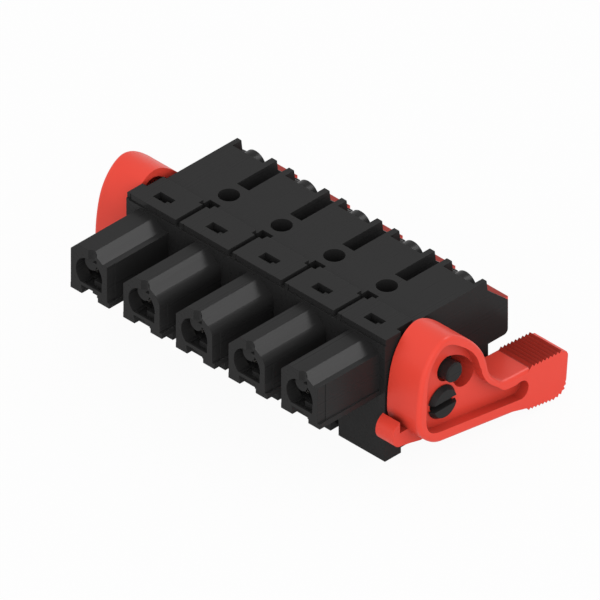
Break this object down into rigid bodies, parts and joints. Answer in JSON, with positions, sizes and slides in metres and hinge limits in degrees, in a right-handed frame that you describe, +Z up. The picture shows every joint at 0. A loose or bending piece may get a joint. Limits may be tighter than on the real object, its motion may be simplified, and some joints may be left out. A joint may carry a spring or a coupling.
{
  "type": "pcb plug connector",
  "caption": "Board plug connector with a row of female sockets, push-in wire clamps with push buttons, and a release lever at each end.",
  "frame": {"origin": "middle of the footprint, on the surface that the plug stands on", "axes": "+X along the row of poles, +Y from the mating side to the wire side, +Z up"},
  "size_m": [0.0472, 0.0307, 0.0157],
  "materials": {
    "housing_plastic": "black moulded plastic, satin to semi-gloss",
    "actuator_plastic": "red moulded plastic, satin",
    "plated_contact": "tin-plated copper alloy",
    "spring_steel": "bright spring steel"
  },
  "bodies": {
    "housing": {"front_shell": "housing_plastic", "rear_body": "housing_plastic", "contact_1": "plated_contact", "contact_2": "plated_contact", "contact_3": "plated_contact", "contact_4": "plated_contact", "contact_5": "plated_contact", "contact_spring_1": "spring_steel", "contact_spring_2": "spring_steel", "contact_spring_3": "spring_steel", "contact_spring_4": "spring_steel", "contact_spring_5": "spring_steel", "current_bar_1": "plated_contact", "current_bar_2": "plated_contact", "current_bar_3": "plated_contact", "current_bar_4": "plated_contact", "current_bar_5": "plated_contact", "clamp_spring_1": "spring_steel", "clamp_spring_2": "spring_steel", "clamp_spring_3": "spring_steel", "clamp_spring_4": "spring_steel", "clamp_spring_5": "spring_steel"},
    "pusher_1": {"pusher_1": "actuator_plastic"},
    "pusher_2": {"pusher_2": "actuator_plastic"},
    "pusher_3": {"pusher_3": "actuator_plastic"},
    "pusher_4": {"pusher_4": "actuator_plastic"},
    "pusher_5": {"pusher_5": "actuator_plastic"},
    "lever_left": {"lever_left": "actuator_plastic"},
    "lever_right": {"lever_right": "actuator_plastic"}
  },
  "joints": [
    {"name": "pusher_1_press", "type": "slide", "parent": "housing", "child": "pusher_1", "axis": [0, -1, 0], "range_m": [0, 0.0016], "stiffness_N_per_m": 4000, "deforming": ["clamp_spring_1"]},
    {"name": "pusher_2_press", "type": "slide", "parent": "housing", "child": "pusher_2", "axis": [0, -1, 0], "range_m": [0, 0.0016], "stiffness_N_per_m": 4000, "deforming": ["clamp_spring_2"]},
    {"name": "pusher_3_press", "type": "slide", "parent": "housing", "child": "pusher_3", "axis": [0, -1, 0], "range_m": [0, 0.0016], "stiffness_N_per_m": 4000, "deforming": ["clamp_spring_3"]},
    {"name": "pusher_4_press", "type": "slide", "parent": "housing", "child": "pusher_4", "axis": [0, -1, 0], "range_m": [0, 0.0016], "stiffness_N_per_m": 4000, "deforming": ["clamp_spring_4"]},
    {"name": "pusher_5_press", "type": "slide", "parent": "housing", "child": "pusher_5", "axis": [0, -1, 0], "range_m": [0, 0.0016], "stiffness_N_per_m": 4000, "deforming": ["clamp_spring_5"]},
    {"name": "lever_left_swing", "type": "hinge", "parent": "housing", "child": "lever_left", "pos_m": [-0.02125, -0.00197, 0.00717], "axis": [1, 0, 0], "range_deg": [0, 45]},
    {"name": "lever_right_swing", "type": "hinge", "parent": "housing", "child": "lever_right", "pos_m": [0.02125, -0.00197, 0.00717], "axis": [1, 0, 0], "range_deg": [0, 45]}
  ]
}
